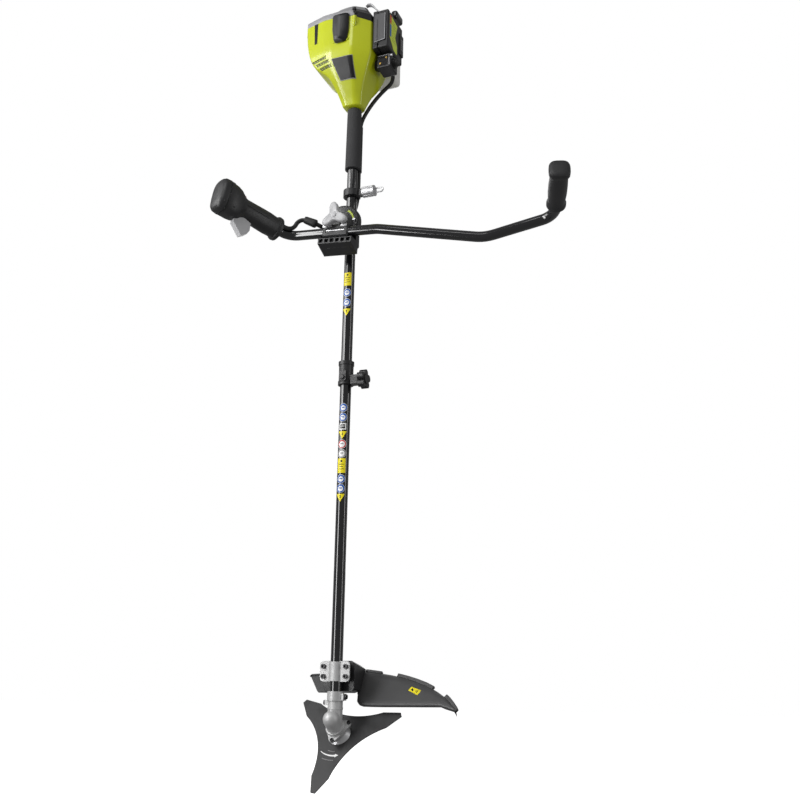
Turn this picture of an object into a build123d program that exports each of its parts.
from build123d import *
import math
import os

# Brush cutter with a split boom, bull-horn handlebar and three-tooth blade, in millimetres.
# The boom axis is Z with the engine at +Z. -Y faces up in use, +Y faces the ground, and +X is the
# operator's left. The origin is on the boom axis, at the middle of the harness clamp.

# ---------------------------------------------------------------- driving dimensions
GAP = 0.3                   # clearance between parts that move against each other
RUN = 0.05                  # radial clearance of a running fit

TUBE_R = 12.0               # boom tube, 24 mm outside
TUBE_WALL = 1.5
UPPER_TUBE_TOP = 250.0
COUPLER_TOP = -400.0
COUPLER_BOTTOM = -452.0
TUBE_JOINT = -412.0         # where the two boom tubes meet inside the coupler
LOWER_TUBE_END = -1094.0
SHAFT_R = 4.0               # drive shaft

FOAM_BOTTOM = 62.0
FOAM_TOP = 214.0
CABLE_R = 4.6
CABLE_ANGLE = 60.0          # where the throttle cable lies around the tube, from +X towards +Y

PIVOT_Z = -92.0             # handlebar swivel axis, parallel to Y
SWIVEL_FACE_Y = -35.0
BAR_TILT = 4.8              # the bar is set this far round the swivel, in degrees
BAR_R = 11.0
BAR_Y = -62.0
BAR_DROP = 29.5             # from the swivel axis to the bar's axis

GEAR_ANGLE = 53.0           # between the boom and the blade spindle
GEAR_Z = -1142.0            # where the boom axis meets the spindle axis
BLADE_OFFSET = 28.0         # from that point to the blade's upper face
BLADE_R = 127.5             # 255 mm blade
BLADE_T = 2.0
BLADE_WAIST = 45.0          # from the blade's centre to the hollow between two teeth
PINION_TEETH = 13
RING_TEETH = 18
CONE_DISTANCE = 23.2        # bevel gears: from the axes' crossing to the pitch circles

REAR_Z = 418.0              # where the green shroud meets the rear housing
HOUSING_END = 472.0
CYLINDER_Z = 362.0
DECK_Y = -34.0              # crankcase deck under the cylinder
CRANK_THROW = 14.0
ROD_LENGTH = 32.0
BORE_R = 20.0

AIRBOX = (68.0, 106.0, -60.0, 26.0, 326.0, 425.0)   # x, y and z limits of the air filter box
COVER_SPLIT_X = 80.0        # where the filter cover meets its base
HINGE_X = 80.1              # the cover's hinge runs up the front corner of the box
HINGE_R = 2.2
TANK = (-84.0, 72.0, 50.0, 104.0, 324.0, 404.0)     # x, y and z limits of the fuel tank
CAP_Z = 362.0
ROPE_Y = 14.0
ROPE_Z = 451.0
PULLEY_R = 28.0

os.makedirs("parts", exist_ok=True)


# ---------------------------------------------------------------- helpers
def vec(x, y, z):
    return Vector(x, y, z)


def rod(radius, start, end):
    """A solid cylinder from one point to another."""
    start, end = Vector(start), Vector(end)
    place = Plane(origin=start, z_dir=end - start)
    return place * Cylinder(radius, (end - start).length, align=(Align.CENTER, Align.CENTER, Align.MIN))


def ring(outer, inner, start, end):
    """A round sleeve from one point to another."""
    start, end = Vector(start), Vector(end)
    reach = (end - start).normalized()
    return rod(outer, start, end) - rod(inner, start - reach, end + reach)


def cone(r_start, r_end, start, end):
    """A truncated cone from one point to another."""
    start, end = Vector(start), Vector(end)
    place = Plane(origin=start, z_dir=end - start)
    return place * Cone(r_start, r_end, (end - start).length, align=(Align.CENTER, Align.CENTER, Align.MIN))


def block(x0, x1, y0, y1, z0, z1, radius=0.0):
    """A box between two corners, with all its edges rounded if a radius is given."""
    solid = Pos((x0 + x1) / 2, (y0 + y1) / 2, (z0 + z1) / 2) * Box(x1 - x0, y1 - y0, z1 - z0)
    return fillet(solid.edges(), radius) if radius else solid


def grown(limits, by):
    """Box limits moved outwards on all sides, or inwards for a negative value."""
    return tuple(value + (by if index % 2 else -by) for index, value in enumerate(limits))


def prism(points, plane, depth):
    """A polygon drawn on a plane and extruded along its normal."""
    outline = make_face(Polyline(*points, close=True))
    return extrude(plane * outline, depth)


def ruled_body(outlines):
    """A closed body through a row of flat polygons with the same number of corners."""
    wires = [Wire.make_polygon([Vector(*corner) for corner in outline], close=True) for outline in outlines]
    return Part(Solid.make_loft(wires, ruled=True).wrapped)


def screw(head, direction, length, shank_r=2.5, head_r=4.5, head_h=4.5):
    """A socket-head screw: head is the centre of the seat under its head, direction points to its tip."""
    head, direction = Vector(head), Vector(direction).normalized()
    top = head - direction * head_h
    socket = Plane(origin=top, z_dir=direction) * extrude(RegularPolygon(shank_r, 6), head_h * 0.6)
    return rod(head_r, top, head) + rod(shank_r, head, head + direction * length) - socket


def swept_tube(radius, points, radii):
    """A round bar that follows straight runs joined by tangent arcs."""
    path = FilletPolyline(*points, radius=radii)
    return sweep(Plane(origin=path @ 0, z_dir=path % 0) * Circle(radius), path=path), path.length


def cord_radii(points):
    """The largest arc that each corner of a cord's route has room for."""
    radii = []
    for before, here, after in zip(points, points[1:], points[2:]):
        run_in, run_out = Vector(*here) - Vector(*before), Vector(*after) - Vector(*here)
        turn = math.radians(run_in.get_angle(run_out))
        radii.append(0.45 * min(run_in.length, run_out.length) / math.tan(turn / 2))
    return radii


def save(name, *solids):
    """Write one node; several solids make one group."""
    shape = solids[0] if len(solids) == 1 else Compound(children=[Compound(s.wrapped) for s in solids])
    export_step(shape, f"parts/{name}.step")


# ---------------------------------------------------------------- boom
def upper_boom():
    tube = ring(TUBE_R, TUBE_R - TUBE_WALL, (0, 0, TUBE_JOINT), (0, 0, UPPER_TUBE_TOP))
    save("upper_tube", tube)

    angle = math.radians(CABLE_ANGLE)
    reach = TUBE_R + CABLE_R + GAP
    lane = Vector(reach * math.cos(angle), reach * math.sin(angle), 0)
    sleeve = cone(17.8, 16.4, (0, 0, FOAM_BOTTOM), (0, 0, FOAM_TOP))
    sleeve += rod(CABLE_R + 2.0, lane + vec(0, 0, FOAM_BOTTOM), lane + vec(0, 0, FOAM_TOP - 36))
    sleeve -= rod(TUBE_R, (0, 0, FOAM_BOTTOM - 1), (0, 0, FOAM_TOP + 1))
    sleeve -= rod(CABLE_R + 0.5, lane + vec(0, 0, FOAM_BOTTOM - 1), lane + vec(0, 0, FOAM_TOP + 1))
    save("foam_grip", sleeve)

    socket_end = TUBE_JOINT - 2
    shaft = rod(SHAFT_R, (0, 0, TUBE_JOINT + 20), (0, 0, 262))
    shaft += rod(6.5, (0, 0, socket_end), (0, 0, TUBE_JOINT + 26))
    shaft -= Pos(0, 0, TUBE_JOINT + 4) * Box(5.4, 5.4, 24)
    save("upper_driveshaft", shaft)
    return lane


def harness_mount(lane):
    band = ring(19.5, TUBE_R, (0, 0, -8), (0, 0, 8))
    band += block(14, 27, -5.5, 5.5, -8, 8)
    band -= rod(CABLE_R + 2 * GAP, lane + vec(0, 0, -9), lane + vec(0, 0, 9))
    band -= rod(4.0 + RUN, (19, 0, 0), (28, 0, 0))
    band -= rod(TUBE_R, (0, 0, -9), (0, 0, 9))
    save("harness_clamp", band)

    barrel = rod(12.5, (28, 0, 0), (56, 0, 0))
    for step in range(12):
        angle = math.radians(30 * step)
        spot = vec(0, 12.9 * math.cos(angle), 12.9 * math.sin(angle))
        barrel -= rod(1.1, spot + vec(30, 0, 0), spot + vec(54, 0, 0))
    barrel += rod(4.0, (20, 0, 0), (29, 0, 0))
    save("harness_hanger", barrel)

    points = [(56.1, 0, 5), (76, 0, 5), (76, 0, -5), (56.1, 0, -5)]
    loop, _ = swept_tube(1.6, points, [4.6, 4.6])
    save("harness_loop", loop)


def coupler():
    body = rod(15.6, (0, 0, COUPLER_BOTTOM), (0, 0, COUPLER_TOP))
    body += ring(16.8, TUBE_R, (0, 0, COUPLER_BOTTOM), (0, 0, COUPLER_BOTTOM + 8))
    body += ring(16.8, TUBE_R, (0, 0, COUPLER_TOP - 8), (0, 0, COUPLER_TOP))
    body += block(10, 30, -9, 9, -452, -432)
    body += block(-8, 8, -18.5, -10, -446, -424)
    body -= rod(TUBE_R + RUN, (0, 0, COUPLER_BOTTOM - 1), (0, 0, COUPLER_TOP + 1))
    body -= rod(3.0 + RUN, (11, 0, -442), (31, 0, -442))
    body -= rod(5.0 + GAP, (0, -19, -438), (0, -13.4, -438))
    body -= rod(2.2, (0, -14, -438), (0, -11, -438))
    save("coupler_body", body)

    button = rod(5.0, (0, -21.5, -438), (0, -16.5, -438))
    button = fillet(button.edges().group_by(Axis.Y)[0], 1.2)
    save("coupler_button", button)

    knob = rod(11, (30.4, 0, -442), (50, 0, -442))
    for step in range(5):
        angle = math.radians(72 * step + 18)
        spot = vec(0, 13 * math.cos(angle), 13 * math.sin(angle) - 442)
        knob += rod(8, spot + vec(34, 0, 0), spot + vec(48, 0, 0))
    knob += rod(3.0, (TUBE_R + 0.6, 0, -442), (31, 0, -442))
    save("coupler_knob", knob)


def lower_boom():
    tube = ring(TUBE_R, TUBE_R - TUBE_WALL, (0, 0, LOWER_TUBE_END), (0, 0, TUBE_JOINT - 1))
    save("lower_tube", tube)
    pinion_back = GEAR_Z + CONE_DISTANCE * math.cos(PINION_CONE) + 3
    shaft = rod(SHAFT_R, (0, 0, pinion_back - 9), (0, 0, TUBE_JOINT - 6))
    shaft += Pos(0, 0, TUBE_JOINT + 2) * Box(5, 5, 18)
    save("lower_driveshaft", shaft)


# ---------------------------------------------------------------- handlebar
def swivel_base():
    pivot = PIVOT_Z
    base = rod(19.5, (0, 0, pivot - 36), (0, 0, pivot + 30))
    base += rod(34, (0, SWIVEL_FACE_Y, pivot), (0, -24, pivot))
    base += block(-17, 17, -27, 0, pivot - 30, pivot + 26)
    base += block(-24, -14, -7, 7, pivot - 32, pivot + 26)
    base -= rod(TUBE_R, (0, 0, pivot - 37), (0, 0, pivot + 31))
    base -= rod(4 + RUN, (0, SWIVEL_FACE_Y - 1, pivot), (0, -14, pivot))
    base -= block(-25, -10, -1, 1, pivot - 37, pivot + 31)
    for height in (pivot - 22, pivot + 16):
        base -= rod(2.5, (-19.5, -8, height), (-19.5, 12, height))
        base -= rod(4.6, (-19.5, -40, height), (-19.5, -7, height))
    save("swivel_base", base)


def bar_turn(shape):
    """Set a part of the handlebar round the swivel axis."""
    return Pos(0, 0, PIVOT_Z) * Rot(0, BAR_TILT, 0) * shape


def bar_point(x, y, z):
    """A point in the handlebar's own square frame, moved into the machine's frame."""
    angle = math.radians(BAR_TILT)
    return Vector(x * math.cos(angle) + z * math.sin(angle), y,
                  z * math.cos(angle) - x * math.sin(angle) + PIVOT_Z)


def swivel_bracket():
    disc_back = SWIVEL_FACE_Y - GAP
    bracket = rod(42, (0, -49, 0), (0, disc_back, 0))
    bracket = fillet(bracket.edges().group_by(Axis.Y)[0], 5)
    side = Plane(origin=(-40, 0, 0), x_dir=(0, 1, 0), z_dir=(1, 0, 0))
    bracket += prism([(-72, -45.5), (-72, -58), (disc_back, -72), (disc_back, -30), (-49, -30), (-49, -45.5)],
                     side, 80)
    bracket += block(-34, 34, BAR_Y, -47, -44, -17)
    bracket -= rod(BAR_R, (-60, BAR_Y, -BAR_DROP), (60, BAR_Y, -BAR_DROP))
    bracket -= rod(4 + GAP, (0, -60, 0), (0, -30, 0))
    for step in range(6):
        x = -32.5 + 13 * step
        bracket -= block(x - 4.5, x + 4.5, -73, -66, -55.5, -47.5)
    save("handlebar_bracket", bar_turn(bracket))

    cap = block(-31, 31, -75, BAR_Y - GAP, -44, -15)
    cap = chamfer(cap.edges().group_by(Axis.Y)[0], 3)
    cap -= rod(BAR_R, (-60, BAR_Y, -BAR_DROP), (60, BAR_Y, -BAR_DROP))
    cap -= block(-22, 22, -76, -73.5, -35, -25)
    save("handlebar_cap", bar_turn(cap))

    knob = rod(12, (0, -90, 0), (0, -76, 0))
    for step in range(3):
        angle = math.radians(90 + 120 * step)
        tip = vec(25 * math.cos(angle), 0, 25 * math.sin(angle))
        knob += rod(6.5, tip + vec(0, -88, 0), tip + vec(0, -77, 0))
        wing = block(0, 25, -88, -77, -8, 8)
        knob += Rot(0, -math.degrees(angle), 0) * wing
    knob += rod(4, (0, -78, 0), (0, -16, 0))
    save("clamp_knob", bar_turn(knob))


def grip_frame():
    """The throttle grip's own axes: along the grip outwards, towards the trigger, and sideways."""
    along = Vector(-0.41, -0.895, 0.18).normalized()
    down = Vector(0, 0, -1)
    trigger = (down - along * along.dot(down)).normalized()
    return along, trigger, along.cross(trigger)


GRIP_BEND = bar_point(-120, BAR_Y, -BAR_DROP)
GRIP_ALONG, GRIP_TRIGGER, GRIP_SIDE = grip_frame()
GRIP_ROOT = GRIP_BEND + GRIP_ALONG * 31
LEFT_ROOT = Vector(487, -92, -160)
LEFT_ALONG = Vector(0.30, -0.93, 0.20).normalized()


def in_grip(along, trigger=0.0, side=0.0):
    """A point given in the throttle grip's own axes."""
    return GRIP_ROOT + GRIP_ALONG * along + GRIP_TRIGGER * trigger + GRIP_SIDE * side


def grip_plane(along):
    """A plane across the throttle grip; its x axis points to the trigger."""
    return Plane(origin=in_grip(along), x_dir=GRIP_TRIGGER, z_dir=GRIP_ALONG)


def grip_profile_plane(side):
    """A plane along the throttle grip; its x axis runs outwards and its y axis points to the trigger."""
    return Plane(origin=in_grip(0, 0, side), x_dir=GRIP_ALONG, z_dir=GRIP_SIDE)


def handlebar():
    points = [
        in_grip(56), GRIP_BEND, bar_point(95, BAR_Y, -BAR_DROP), Vector(328, -52, -184.5),
        LEFT_ROOT - LEFT_ALONG * 33, LEFT_ROOT + LEFT_ALONG * 90,
    ]
    bends = [38, 90, 110, 40]
    bar, _ = swept_tube(BAR_R, points, bends)
    core, _ = swept_tube(BAR_R - 1.6, points, bends)
    save("handlebar", bar - core)


def left_rod(radius, start, end):
    """A cylinder on the plain grip's axis, between two distances from its root."""
    return rod(radius, LEFT_ROOT + LEFT_ALONG * start, LEFT_ROOT + LEFT_ALONG * end)


def left_grip():
    grip = left_rod(18.5, 0, 100) + left_rod(20.5, 30, 72)
    grip += left_rod(23, 0, 9) + left_rod(23, 96, 108)
    grip = fillet(grip.edges().group_by(Axis(LEFT_ROOT, LEFT_ALONG))[-1], 4)
    grip -= left_rod(BAR_R, -1, 90)
    save("left_grip", grip)


def throttle_housing():
    grip = extrude(grip_plane(0) * Ellipse(25, 19), 112)
    grip += extrude(grip_plane(0) * Ellipse(28.5, 25), 8)
    head = extrude(grip_plane(106) * RectangleRounded(75, 50, 20), 58)
    head = fillet(head.edges().group_by(Axis(in_grip(0), GRIP_ALONG))[-1], 8)
    body = grip + head
    body -= rod(BAR_R, in_grip(-1), in_grip(62))
    slot = Plane(origin=in_grip(88, 25), x_dir=GRIP_ALONG, z_dir=GRIP_TRIGGER) * Box(62, 16.6, 40)
    body -= slot
    lock_slot = Plane(origin=in_grip(138, -34), x_dir=GRIP_ALONG, z_dir=GRIP_TRIGGER) * Box(34, 12.6, 16)
    body -= lock_slot
    switch_slot = Plane(origin=in_grip(97, -22), x_dir=GRIP_ALONG, z_dir=GRIP_TRIGGER) * Box(24, 9, 10)
    body -= switch_slot
    save("throttle_housing", body)

    plane = grip_profile_plane(-7)
    outline = [(113, 18), (113, 44), (88, 66), (76, 56), (71, 45), (72, 27), (90, 23), (98, 14), (106, 10)]
    trigger = prism(outline, plane, 14)
    trigger -= rod(2.2, in_grip(106, 18, -8), in_grip(106, 18, 8))
    save("throttle_trigger", trigger)

    lever = prism([(124, -30), (152, -30), (152, -38), (146, -43), (130, -44), (124, -40)],
                  grip_profile_plane(-5.5), 11)
    save("throttle_lockout", lever)

    switch = prism([(95, -19.5), (104, -19.5), (104, -29), (101, -31), (97, -30), (95, -27)],
                   grip_profile_plane(-4), 8)
    save("stop_switch", switch)


def swept_cable(name, route, *extras):
    """A length of the throttle cable, with the arcs that its route has room for."""
    route = [tuple(point) for point in route]
    radii = cord_radii(route)
    cable, length = swept_tube(CABLE_R, route, radii)
    section = math.pi * CABLE_R ** 2
    print(name, "length", round(length), "radii", [round(radius) for radius in radii],
          "volume over section and length", round(cable.volume / (section * length), 4))
    for extra in extras:
        cable += extra
    save(name, cable)


def throttle_cable(lane):
    grip_exit = in_grip(-0.2, -4, 16.5)
    meeting = Vector(lane.X, lane.Y, 22)
    free_run = [
        grip_exit, grip_exit - GRIP_ALONG * 26, (-94, -66, -72), (-50, -52, -92), (-44, -8, -94),
        (-24, 24, -64), (lane.X, lane.Y, -24), meeting - vec(0, 0, 0.1),
    ]
    boot = cone(7.5, 9.5, (-82, -62.2, -77.5), (-59, -54.9, -88))
    swept_cable("throttle_cable_free", free_run, boot)

    tube_run = [
        meeting, (lane.X + 0.3, lane.Y, 62), (lane.X, lane.Y, 110), (lane.X + 0.3, lane.Y, 150),
        (lane.X, lane.Y, 188), (21, 28, 232), (50, 30, 268), (86, 36, 300), (88, 6.5, 306),
    ]
    swept_cable("throttle_cable_tube", tube_run)


# ---------------------------------------------------------------- engine
def shroud_outline(z, left, right, front, flat, back):
    """One cross-section of the shroud: a flat front face, sloping shoulders and straight sides."""
    left_slope = (left - flat) * 0.53
    right_slope = (right - flat) * 0.66
    return [
        (-flat, -front, z), (flat, -front, z), (right, -front + right_slope, z), (right, back - 12, z),
        (right - 14, back, z), (14 - left, back, z), (-left, back - 12, z), (-left, -front + left_slope, z),
    ]


BOSSES = [(-98, -34), (31, -84)]      # where screws hold the rear housing on
SHROUD_STATIONS = [
    # z, left, right, front, half flat, back
    (REAR_Z, 100, 66, 86, 26, 47),
    (371, 96, 66, 86, 26, 47),
    (325, 84, 66, 86, 25, 47),
    (300, 70, 60, 79, 24, 47),
    (276, 41, 48, 66, 22, 41),
    (250, 30, 36, 45, 18, 29),
    (218, 22, 23, 22, 10, 22),
]


def engine_shroud():
    outer = ruled_body([shroud_outline(*station) for station in SHROUD_STATIONS])
    inner_stations = [(z, left - 2.6, right - 2.6, front - 2.6, flat - 1, back - 2.6)
                      for z, left, right, front, flat, back in SHROUD_STATIONS[:-1]]
    inner_stations[0] = (REAR_Z + 1,) + inner_stations[0][1:]
    inner = ruled_body([shroud_outline(*station) for station in inner_stations])
    shroud = outer - inner
    shroud -= rod(TUBE_R, (0, 0, 200), (0, 0, 251))
    shroud -= block(-19, 19, -90, -80, 331, 408)
    shroud -= block(50, 72, -36, 2, 290, 345)
    for x, y in BOSSES:
        shroud += rod(5.5, (x, y, REAR_Z - 26), (x, y, REAR_Z))
    louvre = Plane(origin=(-70, -62.5, 318), x_dir=(0.88, -0.47, 0), z_dir=(-0.47, -0.88, 0))
    for step in range(4):
        shroud -= louvre * (Pos(0, -22 + 13 * step, 0) * Box(38, 6, 60))
    save("engine_shroud", shroud)

    cover = block(-21, 21, -99, -86.2, 327, 412)
    cover = fillet(cover.edges().filter_by(Axis.Y), 7)
    cover = fillet(cover.edges().group_by(Axis.Y)[0], 5)
    cover += block(-18.5, 18.5, -87, -80.5, 332, 407)
    cover -= rod(12, (0, -95, CYLINDER_Z), (0, -79, CYLINDER_Z))
    save("plug_cover", cover)


def rear_housing():
    station = SHROUD_STATIONS[0][1:]
    rim = ruled_body([shroud_outline(REAR_Z + 0.2, *station), shroud_outline(REAR_Z + 14, *station)])
    left, right, front, flat, back = station
    tail = (left - 40, right - 30, front - 48, flat - 8, back - 12)
    rear = ruled_body([shroud_outline(REAR_Z + 14, *station), shroud_outline(HOUSING_END, *tail)])
    housing = rim + rear
    housing -= rod(PULLEY_R + 5, (0, 0, REAR_Z), (0, 0, HOUSING_END - 4))
    inside = (left - 3, right - 3, front - 3, flat, back - 3)
    housing -= ruled_body([shroud_outline(REAR_Z - 1, *inside), shroud_outline(REAR_Z + 10, *inside)])
    housing -= rod(3.2, (20, ROPE_Y, ROPE_Z), (90, ROPE_Y, ROPE_Z))
    for step in range(8):
        angle = math.radians(45 * step + 22.5)
        spot = vec(16 * math.cos(angle), 16 * math.sin(angle), 0)
        housing -= rod(3, spot + vec(0, 0, HOUSING_END - 10), spot + vec(0, 0, HOUSING_END + 1))
    for x, y in BOSSES:
        housing += rod(5.5, (x, y, REAR_Z + 0.2), (x, y, REAR_Z + 6))
        housing -= rod(2.5, (x, y, REAR_Z), (x, y, REAR_Z + 30))
        housing -= rod(5, (x, y, REAR_Z + 6), (x, y, REAR_Z + 30))
    save("starter_housing", housing)


def recoil_starter():
    hub = ring(PULLEY_R + 3, 9, (0, 0, ROPE_Z - 6), (0, 0, ROPE_Z + 6))
    hub -= ring(PULLEY_R + 4, PULLEY_R - 5, (0, 0, ROPE_Z - 3), (0, 0, ROPE_Z + 3))
    save("starter_pulley", hub)

    rope = rod(2, (36, ROPE_Y, ROPE_Z), (90, ROPE_Y, ROPE_Z))
    save("starter_rope", rope)

    grip = block(88, 104, -6, 34, ROPE_Z - 9, ROPE_Z + 11, 6)
    grip += rod(6, (84, ROPE_Y, ROPE_Z), (94, ROPE_Y, ROPE_Z))
    grip -= rod(2.0, (83, ROPE_Y, ROPE_Z), (90, ROPE_Y, ROPE_Z))
    save("starter_grip", grip)


def crank_train():
    case = ring(36, 27, (0, 0, 330), (0, 0, 394))
    journal = 6.5 + RUN
    case += ring(27, journal, (0, 0, 318), (0, 0, 336)) + ring(27, journal, (0, 0, 388), (0, 0, 404))
    case += block(-30, 30, DECK_Y, -20, 332, 392)
    case -= rod(27, (0, 0, 336), (0, 0, 388))
    case -= rod(BORE_R + 2, (0, DECK_Y - 1, CYLINDER_Z), (0, 0, CYLINDER_Z))
    case -= block(-40, 40, -40, DECK_Y, 320, 400)
    case += block(-26, 26, 34, 44, 340, 384)
    save("crankcase", case)

    low, high = DECK_Y - 40, DECK_Y
    cylinder = rod(BORE_R + 5, (0, low, CYLINDER_Z), (0, high, CYLINDER_Z))
    for step in range(6):
        y = low + 2 + 6.4 * step
        cylinder += block(-32, 32, y, y + 2, CYLINDER_Z - 30, CYLINDER_Z + 30)
    cylinder += block(-28, 28, high - 5, high, CYLINDER_Z - 28, CYLINDER_Z + 28)
    cylinder += rod(9, (-38, -52, CYLINDER_Z), (-20, -52, CYLINDER_Z))
    cylinder -= rod(BORE_R, (0, low + 12, CYLINDER_Z), (0, high + 1, CYLINDER_Z))
    cylinder -= rod(5, (-39, -52, CYLINDER_Z), (-18, -52, CYLINDER_Z))
    cylinder -= rod(5, (0, low - 1, CYLINDER_Z), (0, low + 13, CYLINDER_Z))
    save("cylinder", cylinder)

    pin_y = -CRANK_THROW
    wrist_y = pin_y - ROD_LENGTH
    piston = rod(BORE_R - 0.1, (0, wrist_y - 12, CYLINDER_Z), (0, wrist_y + 9, CYLINDER_Z))
    piston -= rod(BORE_R - 3, (0, wrist_y - 8, CYLINDER_Z), (0, wrist_y + 10, CYLINDER_Z))
    piston += rod(4, (0, wrist_y, CYLINDER_Z - 18), (0, wrist_y, CYLINDER_Z + 18))
    save("piston", piston)

    link = block(-4, 4, wrist_y, pin_y, CYLINDER_Z - 3, CYLINDER_Z + 3)
    link += rod(7, (0, wrist_y, CYLINDER_Z - 5), (0, wrist_y, CYLINDER_Z + 5))
    link += rod(9, (0, pin_y, CYLINDER_Z - 5), (0, pin_y, CYLINDER_Z + 5))
    link -= rod(4, (0, wrist_y, CYLINDER_Z - 6), (0, wrist_y, CYLINDER_Z + 6))
    link -= rod(5, (0, pin_y, CYLINDER_Z - 6), (0, pin_y, CYLINDER_Z + 6))
    save("connecting_rod", link)

    crank = rod(6.5, (0, 0, 280), (0, 0, 354)) + rod(6.5, (0, 0, 370), (0, 0, 428))
    crank += rod(25, (0, 0, 344), (0, 0, 356)) + rod(25, (0, 0, 368), (0, 0, 380))
    crank += rod(5, (0, pin_y, 350), (0, pin_y, 374)) + rod(11.6, (0, 0, 269), (0, 0, 282))
    save("crankshaft", crank)


def flywheel_and_clutch():
    wheel = ring(40, 6.5, (0, 0, 298), (0, 0, 303)) + ring(12, 6.5, (0, 0, 290), (0, 0, 312))
    for step in range(16):
        vane = block(18, 39, -1, 1, 287, 299)
        wheel += Rot(0, 0, 22.5 * step) * vane
    save("flywheel_fan", wheel)

    shoe = ring(23, 12, (0, 0, 270), (0, 0, 282)) - block(-30, 30, -2, 30, 269, 283)
    other = Rot(0, 0, 180) * shoe
    save("clutch_shoes", shoe, other)

    drum = rod(27, (0, 0, 262), (0, 0, 284)) - rod(24.4, (0, 0, 266), (0, 0, 285))
    drum += rod(8, (0, 0, 254), (0, 0, 264))
    drum -= rod(SHAFT_R, (0, 0, 253), (0, 0, 262))
    save("clutch_drum", drum)


def engine_fittings():
    top = DECK_Y - 40
    plug = rod(4.9, (0, top, CYLINDER_Z), (0, top + 12, CYLINDER_Z))
    plug += Plane(origin=(0, top, CYLINDER_Z), z_dir=(0, -1, 0)) * extrude(RegularPolygon(9, 6), 6)
    plug += rod(5, (0, top - 14, CYLINDER_Z), (0, top - 5, CYLINDER_Z))
    plug += rod(2.5, (0, top - 18, CYLINDER_Z), (0, top - 13, CYLINDER_Z))
    save("spark_plug", plug)

    box = block(-82, -41, -42, 6, 336, 398, 6)
    box += rod(9, (-44, -36, CYLINDER_Z), (-38.2, -36, CYLINDER_Z)) - block(-60, 0, -80, -43, 330, 400)
    box += rod(7, (-66, 4, 352), (-66, 24, 352))
    box -= rod(5.5, (-66, 3, 352), (-66, 26, 352))
    save("muffler", box)

    carb = block(70, 104, -38, 4, 288, 323, 3)
    carb += rod(13, (34, -17, 324), (72, -17, 306))
    carb += ring(12, 9.3, (102, -17, 306), (108, -17, 306))
    carb -= rod(9.3, (98, -17, 306), (109, -17, 306))
    carb -= block(20, 58, -40, 10, 290, 345)
    save("carburettor", carb)

    bulb = rod(9, (99, -17, 306), (109, -17, 306)) + Pos(109, -17, 306) * Sphere(9)
    bulb -= block(70, 103, -30, 0, 290, 320)
    save("primer_bulb", bulb)


def air_filter():
    x0, x1, y0, y1, z0, z1 = AIRBOX
    base = block(x0, COVER_SPLIT_X, y0, y1, z0, z1, 2)
    base += block(x0, 78, -30, 2, z0 - 3, z0 + 4)
    base += block(78, 96, -50, -38, z1 - 6, z1)
    base -= rod(3 + RUN, (90, -44, z1 - 3), (90, -44, z1 + 2))
    base -= rod(HINGE_R + GAP, (HINGE_X, y0, z0 + 19.7), (HINGE_X, y0, z1 - 34.7))
    for low, high in ((z0 + 10, z0 + 19.7), (z1 - 34.7, z1 - 25)):
        base += block(x0 + 6, HINGE_X - 0.4, y0 - 1.4, y0 + 2.2, low, high)
        base += rod(HINGE_R, (HINGE_X, y0, low), (HINGE_X, y0, high))
    save("filter_base", base)

    foam = block(COVER_SPLIT_X + 0.6, COVER_SPLIT_X + 14, y0 + 8, y1 - 14, z0 + 8, z1 - 14, 3)
    save("filter_element", foam)

    cover = block(COVER_SPLIT_X + GAP, x1, y0, y1, z0, z1, 4)
    cover -= block(COVER_SPLIT_X - 1, x1 - 2.5, y0 + 3, y1 - 3, z0 + 3, z1 - 9)
    cover -= block(79, 97, -51, -37, z1 - 9.5, z1 + 1)
    swing = rod(28.4, (HINGE_X, y0, z1 - 9.5), (HINGE_X, y0, z1 + 1))
    cover -= swing & block(79, 110, -51, -30, z1 - 10, z1 + 2)
    panel = block(x0 + 14, x1 - 5, y0 - 1, y0 + 1.4, z0 + 16, z1 - 8)
    cover -= panel
    cover += block(x1 - 8, x1 - 2, 1, y1 - 2, z0 + 18, z1 - 20)
    cover -= block(x1 - 4.8, x1 + 1, 3.5, y1 + 1, z0 + 20, z1 - 22)
    knuckle = (z0 + 20, z1 - 35)
    cover -= rod(HINGE_R + GAP, (HINGE_X, y0, z0 + 9), (HINGE_X, y0, z1 - 24))
    cover += block(HINGE_X + 0.4, x0 + 18, y0 - 1.4, y0 + 2.2, *knuckle)
    cover += rod(HINGE_R, (HINGE_X, y0, knuckle[0]), (HINGE_X, y0, knuckle[1]))
    save("filter_cover", cover)

    latch = block(x1 - 3.6, x1 + 3, 7, y1 - 0.6, z0 + 21, z1 - 23, 1.2)
    save("filter_latch", latch)

    outline = [(-6, -6), (6, -6), (6, 6), (-17, 5), (-17, -5)]
    lever = prism(outline, Plane(origin=(90, -44, z1 + 1), z_dir=(0, 0, 1)), 5)
    lever += rod(3, (90, -44, z1 - 2.5), (90, -44, z1 + 3))
    tongue = prism([(-13, 0), (-20, 4), (-30, 18), (-39, 30), (-38, 33), (-33, 32), (-26, 24), (-14, 6)],
                   Plane(origin=(90, -40, z1 + 1), x_dir=(1, 0, 0), z_dir=(0, -1, 0)), 9)
    save("choke_lever", lever + tongue)


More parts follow.
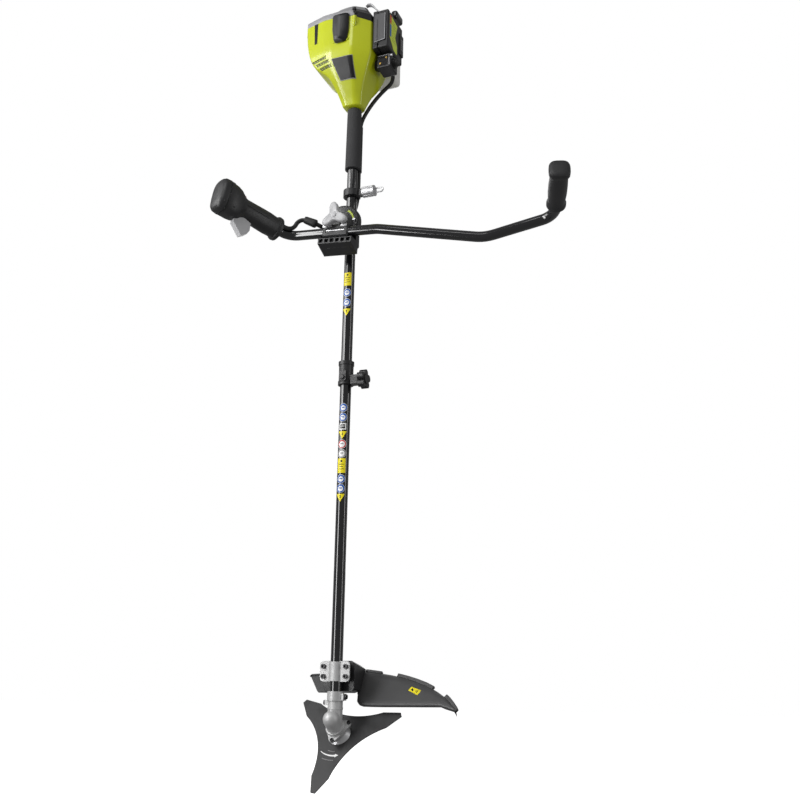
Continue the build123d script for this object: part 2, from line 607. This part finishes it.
def fuel_system():
    x0, x1, y0, y1, z0, z1 = TANK
    tank = block(*TANK, 10) - block(*grown(TANK, -2.2), 8)
    tank += ring(17, 13, (x0 - 7, 77, CAP_Z), (x0 + 1, 77, CAP_Z))
    tank -= rod(13, (x0 - 8, 77, CAP_Z), (x0 + 4, 77, CAP_Z))
    save("fuel_tank", tank)

    cap = rod(21.5, (x0 - 13, 77, CAP_Z), (x0 - 0.6, 77, CAP_Z))
    cap -= rod(17 + GAP, (x0 - 8, 77, CAP_Z), (x0, 77, CAP_Z))
    for step in range(12):
        angle = math.radians(30 * step)
        spot = vec(0, 21.5 * math.cos(angle) + 77, 21.5 * math.sin(angle) + CAP_Z)
        cap -= rod(1.6, spot + vec(x0 - 14, 0, 0), spot + vec(x0 - 4, 0, 0))
    save("fuel_cap", cap)


def clamp_screws():
    screws = [screw((-19.5, -7, PIVOT_Z + up), (0, 1, 0), 18) for up in (-22, 16)]
    screws += [screw((x, y, REAR_Z + 6), (0, 0, -1), 5.9) for x, y in BOSSES]
    save("clamp_screws", *screws)


# ---------------------------------------------------------------- cutting end
GEAR_TURN = math.radians(GEAR_ANGLE)
PINION_CONE = math.atan2(math.sin(GEAR_TURN), RING_TEETH / PINION_TEETH + math.cos(GEAR_TURN))
RING_CONE = GEAR_TURN - PINION_CONE
SPINDLE = Vector(0, math.sin(GEAR_TURN), -math.cos(GEAR_TURN))
GEAR_CENTRE = Vector(0, 0, GEAR_Z)


def on_spindle(reach):
    """A point on the blade's axis, this far past where it crosses the boom axis."""
    return GEAR_CENTRE + SPINDLE * reach


def blade_plane(reach):
    """A plane parallel to the blade; its x axis is +X and its normal points to the ground."""
    return Plane(origin=on_spindle(reach), x_dir=(1, 0, 0), z_dir=SPINDLE)


def gear_outline(plane, radius, teeth, phase):
    """A straight-sided tooth outline round a pitch circle."""
    pitch = 2 * math.pi / teeth
    module = 2 * radius / teeth
    corners = []
    for tooth in range(teeth):
        middle = phase + pitch * tooth
        for offset, reach in ((-0.27, -1.1), (-0.12, 0.75), (0.12, 0.75), (0.27, -1.1)):
            angle = middle + offset * pitch
            distance = radius + reach * module
            corners.append(plane.from_local_coords(
                Vector(distance * math.cos(angle), distance * math.sin(angle), 0)))
    return [tuple(corner) for corner in corners]


def bevel_gear(axis, x_dir, cone_angle, teeth, phase):
    """A bevel gear whose teeth all point at the crossing of the two gear axes."""
    outlines = []
    for share in (1.0, 0.68):
        distance = CONE_DISTANCE * share
        plane = Plane(origin=GEAR_CENTRE + axis * (distance * math.cos(cone_angle)), x_dir=x_dir, z_dir=axis)
        outlines.append(gear_outline(plane, distance * math.sin(cone_angle), teeth, phase))
    return ruled_body(outlines)


def bevel_pair():
    to_mesh = math.radians(90)
    pinion = bevel_gear(Vector(0, 0, 1), (1, 0, 0), PINION_CONE, PINION_TEETH, -to_mesh)
    back = GEAR_Z + CONE_DISTANCE * math.cos(PINION_CONE)
    pinion += rod(6, (0, 0, back - 0.5), (0, 0, back + 24))
    pinion -= rod(SHAFT_R, (0, 0, back - 6), (0, 0, back + 25))
    save("pinion", pinion)

    half_tooth = math.pi / RING_TEETH
    wheel = bevel_gear(SPINDLE * -1, (1, 0, 0), RING_CONE, RING_TEETH, to_mesh + half_tooth)
    reach = -CONE_DISTANCE * math.cos(RING_CONE)
    wheel += rod(9, on_spindle(reach), on_spindle(reach - 2))
    wheel -= rod(5, on_spindle(reach - 3), on_spindle(0))
    save("ring_gear", wheel)

    save("gear_bearings",
         ring(11.5, 6 + RUN, (0, 0, back + 8), (0, 0, back + 16)),
         ring(10, 5 + RUN, on_spindle(reach - 8), on_spindle(reach - 2.6)),
         ring(14, 8 + RUN, on_spindle(6), on_spindle(15)))


def gearbox():
    dome = -20.0
    case = rod(14.6, (0, 0, GEAR_Z), (0, 0, GEAR_Z + 60))
    case += rod(16.6, (0, 0, GEAR_Z + 46), (0, 0, GEAR_Z + 64))
    case += rod(15.4, (0, 0, GEAR_Z + 30), (0, 0, GEAR_Z + 34))
    case += rod(16.2, on_spindle(dome), on_spindle(8)) + rod(19, on_spindle(2), on_spindle(8))
    case += Pos(*on_spindle(dome)) * Sphere(16.2)
    case -= rod(60, on_spindle(8), on_spindle(40))
    case -= rod(TUBE_R, (0, 0, LOWER_TUBE_END), (0, 0, GEAR_Z + 65))
    case -= rod(11.5, (0, 0, GEAR_Z + 14), (0, 0, GEAR_Z + 49))
    case -= rod(14, on_spindle(dome - 2), on_spindle(9))
    case -= rod(10, on_spindle(dome - 9), on_spindle(0))
    bore = rod(TUBE_R + 1, (0, 0, GEAR_Z), (0, 0, GEAR_Z + 61))
    case += block(-20, -12, -7, 7, GEAR_Z + 38, GEAR_Z + 48) - bore
    case += block(12, 20, -7, 7, GEAR_Z + 47, GEAR_Z + 60) - bore
    case -= rod(2.5, (-21, 0, GEAR_Z + 43), (-11, 0, GEAR_Z + 43))
    case -= rod(2.5, (21, 0, GEAR_Z + 54), (11, 0, GEAR_Z + 54))
    save("gearbox_case", case)

    outline = RegularPolygon(38, 3, rotation=90)
    outline = fillet(outline.vertices(), 8)
    plate = extrude(blade_plane(8.2) * outline, 4)
    plate += rod(19, on_spindle(8.2), on_spindle(17)) + rod(16, on_spindle(16), on_spindle(19.5))
    plate -= rod(14, on_spindle(5), on_spindle(15.2))
    plate -= rod(9, on_spindle(5), on_spindle(21))
    for x, y in flange_holes():
        hole = blade_plane(0).from_local_coords(Vector(x, y, 0))
        plate -= rod(2.5, hole + SPINDLE * 7, hole + SPINDLE * 14)
    save("gearbox_flange", plate)


def flange_holes():
    """The three screw holes of the bearing flange, in the blade plane's own axes."""
    circle = 27.0
    turns = [math.radians(angle) for angle in (90, 210, 330)]
    return [(circle * math.cos(turn), circle * math.sin(turn)) for turn in turns]


def blade_outline():
    """A three-tooth blade: broad clipped tips joined by hollow curves."""
    lines = []
    for step in range(3):
        turn = Rot(0, 0, 120 * step + BLADE_PHASE)
        near, far, half_tip, half_arm = 0.735 * BLADE_R, BLADE_R, 4.7, 18.7
        edge = Polyline((near, -half_arm), (far, -half_tip), (far, half_tip), (near, half_arm))
        valley = ThreePointArc((near, half_arm), tuple(Vector(BLADE_WAIST, 0).rotate(Axis.Z, 60)),
                               tuple(Vector(near, -half_arm).rotate(Axis.Z, 120)))
        lines += [turn * edge, turn * valley]
    return make_face(lines)


BLADE_PHASE = -23.0


def cutting_head():
    spindle = rod(8, on_spindle(2), on_spindle(21)) + rod(5, on_spindle(-29), on_spindle(40))
    save("spindle", spindle)

    top = BLADE_OFFSET
    inner = cone(15, 23, on_spindle(21), on_spindle(top)) - rod(5, on_spindle(20), on_spindle(top + 1))
    outer = cone(24, 18, on_spindle(top + BLADE_T), on_spindle(top + BLADE_T + 4))
    outer -= rod(5, on_spindle(top), on_spindle(top + 8))
    nut = extrude(blade_plane(top + BLADE_T + 4) * RegularPolygon(9.5, 6), 7)
    nut -= rod(5, on_spindle(top), on_spindle(top + 20))
    save("blade_clamp_set", inner, outer, nut)

    blade = extrude(blade_plane(top) * blade_outline(), BLADE_T)
    blade -= rod(5, on_spindle(top - 1), on_spindle(top + 4))
    save("blade", blade)


def guard():
    level = BLADE_OFFSET - 24
    skirt_depth = 22.0
    plane = blade_plane(level)
    rim = ThreePointArc((22, -141), (160, -107), (240, -40))
    plate_edge = Polyline((240, -40), (204, -54), (41, -51), (26, -62), (24, -82), (-64, -82), (-94, -123),
                          (-82, -157), (-15, -162), (22, -141))
    plate = extrude(plane * make_face([rim, plate_edge]), 2.5)
    inner_rim = ThreePointArc((22, -138.4), (158.7, -104.9), (238.2, -39.4))
    skirt_face = make_face([rim, Line((240, -40), (238.2, -39.4)), inner_rim, Line((22, -138.4), (22, -141))])
    shield = plate + extrude(plane * skirt_face, skirt_depth)
    lip = Polyline((204, -54), (41, -51), (41, -54), (204, -57), close=True)
    shield += extrude(plane * make_face(lip), 5)

    near = blade_plane(level + 1).from_local_coords(Vector(0, -85, 0))
    far = blade_plane(level + 1).from_local_coords(Vector(0, -158, 0))
    wedge = prism([(12.8, -1019), (12.8, -1076), (near.Y, near.Z), (far.Y, far.Z)],
                  Plane(origin=(-38, 0, 0), x_dir=(0, 1, 0), z_dir=(1, 0, 0)), 72)
    shield += wedge
    shield -= extrude(blade_plane(level + 2.5) * Circle(BLADE_R + 10), 60)
    for x, z in guard_screw_spots():
        shield -= rod(2.5, (x, 10, z), (x, 30, z))
    save("guard", shield)

    saddle = block(-32, 32, -8.2, -5.2, -1060, -1021)
    saddle = fillet(saddle.edges().filter_by(Axis.Y), 7)
    saddle += rod(TUBE_R + 3, (0, 0, -1059), (0, 0, -1022)) - block(-20, 20, -5.2, 20, -1070, -1010)
    saddle -= rod(TUBE_R, (0, 0, -1070), (0, 0, -1010))
    for x, z in guard_screw_spots():
        saddle -= rod(2.5, (x, -10, z), (x, 0, z))
    save("guard_saddle", saddle)


def guard_screw_spots():
    return [(x, z) for x in (-24, 24) for z in (-1050, -1031)]


def lower_screws():
    screws = [screw((x, -8.2, z), (0, 1, 0), 34) for x, z in guard_screw_spots()]
    screws.append(screw((20, 0, GEAR_Z + 54), (-1, 0, 0), 7))
    screws.append(screw((-20, 0, GEAR_Z + 43), (1, 0, 0), 7))
    for x, y in flange_holes():
        hole = blade_plane(0).from_local_coords(Vector(x, y, 0))
        screws.append(screw(hole + SPINDLE * 8.2, SPINDLE, 4, head_r=3.8, head_h=3))
    save("lower_screws", *screws)


cable_lane = upper_boom()
harness_mount(cable_lane)
coupler()
lower_boom()
swivel_base()
swivel_bracket()
handlebar()
left_grip()
throttle_housing()
throttle_cable(cable_lane)
engine_shroud()
rear_housing()
recoil_starter()
crank_train()
flywheel_and_clutch()
engine_fittings()
air_filter()
fuel_system()
clamp_screws()
bevel_pair()
gearbox()
cutting_head()
guard()
lower_screws()
